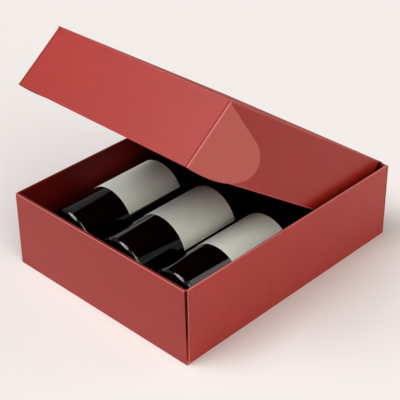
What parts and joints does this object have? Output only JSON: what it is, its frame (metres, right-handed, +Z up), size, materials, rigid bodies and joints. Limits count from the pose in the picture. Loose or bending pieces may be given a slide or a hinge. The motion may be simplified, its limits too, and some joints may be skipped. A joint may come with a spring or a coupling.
{
  "type": "wine gift box",
  "caption": "Folded red card gift carton lying flat, with a hinged tuck-in lid part open over dark wine bottles with blank labels.",
  "frame": {"origin": "middle of the base's underside, on the surface the carton lies on", "axes": "+X across the bottles, +Y from the front wall to the lid's hinge, +Z up"},
  "size_m": [0.266, 0.331, 0.2727],
  "materials": {
    "red_card": "satin",
    "dark_glass": "gloss",
    "label_paper": "matte",
    "capsule_foil": "satin"
  },
  "bodies": {
    "tray": {"tray": "red_card", "bottle_left": "dark_glass", "bottle_middle": "dark_glass", "bottle_right": "dark_glass", "label_left": "label_paper", "label_middle": "label_paper", "label_right": "label_paper", "capsule_left": "capsule_foil", "capsule_middle": "capsule_foil", "capsule_right": "capsule_foil"},
    "lid": {"lid": "red_card"},
    "front_flap": {"front_flap": "red_card"}
  },
  "joints": [
    {"name": "lid_hinge", "type": "hinge", "parent": "tray", "child": "lid", "pos_m": [0, 0.1649, 0.0934], "axis": [-1, 0, 0], "range_deg": [-35, 70]},
    {"name": "front_flap_fold", "type": "hinge", "parent": "lid", "child": "front_flap", "pos_m": [0, -0.09027, 0.27207], "axis": [-1, 0, 0], "range_deg": [-24.2, 48.2]}
  ],
  "couplings": [
    {"joint": "front_flap_fold", "follows": "lid_hinge", "ratio": 0.68571}
  ]
}
